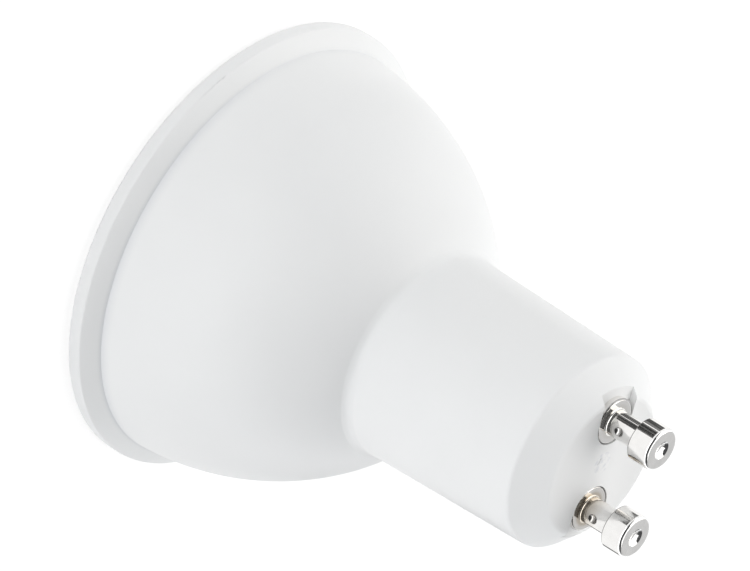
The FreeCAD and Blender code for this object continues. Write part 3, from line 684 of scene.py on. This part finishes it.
def gate_height(place):
    """Height of the torn gate over the end face in metres, just below it round the patch."""
    offset = place - GATE_CENTRE
    inside = 1.0 - offset.length / GATE_HALF
    rise = max(0.0, min(1.0, (inside - GATE_FLAT) / GATE_SLOPE))
    mound = rise * rise * (3.0 - 2.0 * rise)
    point = Vector((place.x, place.y, 0.0)) / LUMP_SIZE
    lumps = noise.fractal(point, LUMP_FADE, LUMP_FINER, LUMP_OCTAVES)
    slit = place - SLIT_CENTRE
    along = slit.x * math.cos(GATE_TURN) + slit.y * math.sin(GATE_TURN)
    across = slit.y * math.cos(GATE_TURN) - slit.x * math.sin(GATE_TURN)
    off_line = across / (SLIT_HALF_WIDTH * GROOVE_SHARE)
    off_middle = along / SLIT_HALF_LENGTH
    groove = math.exp(-(off_line ** 2 + off_middle ** 4))
    torn = GATE_MEAN + GATE_ROUGHNESS * lumps
    return GATE_HEIGHT * (mound * torn - SLIT_DEPTH * groove * mound - GATE_SUNK)


def make_gate_mark():
    """Low torn patch where the plastic entered the mould, with its foot in the end face."""
    end_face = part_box("housing")[1].z
    build = bmesh.new()
    tops = {}
    for i in range(GATE_STEPS + 1):
        for j in range(GATE_STEPS + 1):
            x = 2.0 * i / GATE_STEPS - 1.0
            y = 2.0 * j / GATE_STEPS - 1.0
            place = Vector((x, y)) * GATE_HALF + GATE_CENTRE
            tops[i, j] = build.verts.new((place.x, place.y, end_face + gate_height(place)))
    for i in range(GATE_STEPS):
        for j in range(GATE_STEPS):
            corners = (tops[i, j], tops[i + 1, j], tops[i + 1, j + 1], tops[i, j + 1])
            build.faces.new(corners).smooth = True
    border = [(i, 0) for i in range(GATE_STEPS)]
    border += [(GATE_STEPS, j) for j in range(GATE_STEPS)]
    border += [(i, GATE_STEPS) for i in range(GATE_STEPS, 0, -1)]
    border += [(0, j) for j in range(GATE_STEPS, 0, -1)]
    feet = {key: build.verts.new((*tops[key].co.xy, end_face - GATE_FOOT)) for key in border}
    for here, there in zip(border, border[1:] + border[:1]):
        build.faces.new((tops[here], tops[there], feet[there], feet[here]))
    build.faces.new([feet[key] for key in border])
    add_piece("gate_mark", build, gate_finish())


MIDDLE = Vector((0.0, 0.0, (cad_box[0].z + cad_box[1].z) / 2))


def bearing(azimuth, elevation=0.0):
    """A direction from the lamp, in degrees: azimuth from the camera to the picture's upper right."""
    turn = math.radians(azimuth)
    rise = math.radians(elevation)
    level = TO_CAMERA * math.cos(turn) + TO_UPPER_RIGHT * math.sin(turn)
    return level * math.cos(rise) + UP * math.sin(rise)


WHITE = (1.0, 1.0, 1.0)
WARM_WHITE = (1.0, 0.985, 0.96)
COOL_WHITE = (0.95, 0.975, 1.0)


def softbox(name, azimuth, elevation, distance, width, height, brightness, colour=WHITE):
    """A rectangular lamp that faces the part. Its brightness is its radiance, 1 for white."""
    direction = bearing(azimuth, elevation)
    data = bpy.data.lights.new(name, "AREA")
    data.shape = "RECTANGLE"
    data.size = width
    data.size_y = height
    data.energy = brightness * math.pi * width * height
    data.color = colour
    lamp = bpy.data.objects.new(name, data)
    lamp.location = MIDDLE + direction * distance
    lamp.rotation_mode = "QUATERNION"
    lamp.rotation_quaternion = direction.to_track_quat("Z", "Y")
    lamp.visible_camera = False
    bpy.context.scene.collection.objects.link(lamp)


# Floor and cards are dull, with no gloss of their own
DULL = 0.9
NO_GLOSS = 0.0

FLOOR_HALF = 3.0
FLOOR_WHITE = (0.9, 0.9, 0.9)
FLOOR_SEEN = (0.24, 0.24, 0.24)
FLOOR_GLOW = 0.86


def make_floor():
    """Plain white floor, seen by the camera and in reflections as lighter than it is lit."""
    mesh = bpy.data.meshes.new("floor")
    corners = [
        (-FLOOR_HALF, -FLOOR_HALF, 0.0),
        (FLOOR_HALF, -FLOOR_HALF, 0.0),
        (FLOOR_HALF, FLOOR_HALF, 0.0),
        (-FLOOR_HALF, FLOOR_HALF, 0.0),
    ]
    mesh.from_pydata(corners, [], [(0, 1, 2, 3)])
    floor = bpy.data.objects.new("floor", mesh)
    bpy.context.scene.collection.objects.link(floor)
    finish = Finish(
        "white_floor",
        Roughness=DULL,
        Specular_IOR_Level=NO_GLOSS,
        Emission_Color=(*WHITE, 1.0),
    )
    path = finish.tree.nodes.new("ShaderNodeLightPath")
    seen = finish.math("MAXIMUM", path.outputs["Is Camera Ray"], path.outputs["Is Glossy Ray"])
    seen = finish.math("MAXIMUM", seen, path.outputs["Is Transmission Ray"])
    finish.shade("Base Color", finish.mix(seen, FLOOR_WHITE, FLOOR_SEEN))
    finish.shade("Emission Strength", finish.math("MULTIPLY", seen, FLOOR_GLOW))
    mesh.materials.append(finish.material)


# Heights, as sines of the elevation, between which the studio goes from light to dark
STUDIO_LIGHT_HEIGHT = 0.05
STUDIO_DARK_HEIGHT = 0.55


def make_world(colour, horizon, zenith):
    """Studio surroundings that are light at the sides and darker overhead."""
    world = bpy.data.worlds.new("studio")
    world.use_nodes = True
    tree = world.node_tree
    direction = tree.nodes.new("ShaderNodeTexCoord").outputs["Generated"]
    height = tree.nodes.new("ShaderNodeSeparateXYZ")
    tree.links.new(direction, height.inputs[0])
    level = tree.nodes.new("ShaderNodeMapRange")
    level.interpolation_type = "SMOOTHSTEP"
    tree.links.new(height.outputs["Z"], level.inputs["Value"])
    level.inputs["From Min"].default_value = STUDIO_LIGHT_HEIGHT
    level.inputs["From Max"].default_value = STUDIO_DARK_HEIGHT
    level.inputs["To Min"].default_value = horizon
    level.inputs["To Max"].default_value = zenith
    background = tree.nodes["Background"]
    background.inputs["Color"].default_value = (*colour, 1.0)
    tree.links.new(level.outputs["Result"], background.inputs["Strength"])
    bpy.context.scene.world = world


CARD_STEPS = 24
CARD_HEIGHT = 0.2 * MM
CARD_PATCH = 26 * MM
CARD_PATCH_RANGE = (0.5, 0.66)
CARD_PALE = (0.42, 0.42, 0.42)
CARD_FAR = 125 * MM


def make_card(name, azimuths, near, tone):
    """A dark, patchy card that lies on the floor out of the picture, for the metal to reflect."""
    points = []
    for i in range(CARD_STEPS + 1):
        azimuth = azimuths[0] + (azimuths[1] - azimuths[0]) * i / CARD_STEPS
        for reach in (near, CARD_FAR):
            place = bearing(azimuth) * reach
            points.append((place.x, place.y, CARD_HEIGHT))
    faces = [(2 * i, 2 * i + 1, 2 * i + 3, 2 * i + 2) for i in range(CARD_STEPS)]
    mesh = bpy.data.meshes.new(name)
    mesh.from_pydata(points, [], faces)
    finish = Finish(name, Roughness=DULL, Specular_IOR_Level=NO_GLOSS)
    patches = finish.noise(lump=CARD_PATCH, detail=5.0)
    colour = finish.tint(patches, (tone, tone, tone), CARD_PALE, CARD_PATCH_RANGE)
    finish.shade("Base Color", colour)
    mesh.materials.append(finish.material)
    card = bpy.data.objects.new(name, mesh)
    card.visible_camera = False
    card.visible_diffuse = False
    card.visible_shadow = False
    card.visible_transmission = False
    bpy.context.scene.collection.objects.link(card)


make_camera()
dress(housing_finish(), "housing")
dress(diffuser_finish(), "diffuser")
dress(heat_sink_finish(), "heat_sink")
dress(led_board_finish(), "led_board")
dress(led_chip_finish(), "led_chips")
dress(driver_board_finish(), "driver_board")
dress(capacitor_finish(), "bulk_capacitor")
dress(ferrite_finish(), "choke_core")
dress(winding_finish(), "choke_winding")
dress(package_finish(), "driver_chip", "bridge_rectifier", "chip_resistors")
dress(resistor_finish(), "fuse_resistor")
dress(wire_finish(), "led_leads", "mains_wire_left", "mains_wire_right")
dress(pin_finish("nickel_plate_left", -PIN_X, PIN_ROUGHNESS_LEFT, ROOT_LEFT), "contact_pin_left")
dress(pin_finish("nickel_plate_right", PIN_X, PIN_ROUGHNESS_RIGHT, ROOT_RIGHT), "contact_pin_right")
make_gate_mark()
make_floor()

# Lamps: azimuth and elevation in degrees, lengths in metres
make_world(COOL_WHITE, horizon=1.25, zenith=0.08)
softbox("key", azimuth=116, elevation=48, distance=0.8, width=1.1, height=0.75, brightness=1.58,
        colour=WARM_WHITE)
softbox("overhead", azimuth=165, elevation=70, distance=0.8, width=0.8, height=0.52, brightness=1.5)
softbox("back", azimuth=180, elevation=32, distance=0.7, width=0.8, height=0.5, brightness=0.52)
softbox("front", azimuth=-6, elevation=12, distance=0.7, width=0.75, height=0.3, brightness=1.85)
softbox("left", azimuth=-62, elevation=9, distance=0.7, width=0.75, height=0.22, brightness=1.9)
softbox("back_left", azimuth=-117, elevation=9, distance=0.7, width=0.75, height=0.22, brightness=0.75)
make_card("card_right", azimuths=(28, 71), near=55 * MM, tone=0.045)
make_card("card_far_right", azimuths=(77, 118), near=55 * MM, tone=0.08)
make_card("card_left", azimuths=(-140, -162), near=70 * MM, tone=0.10)

bpy.context.scene.view_settings.view_transform = "Standard"
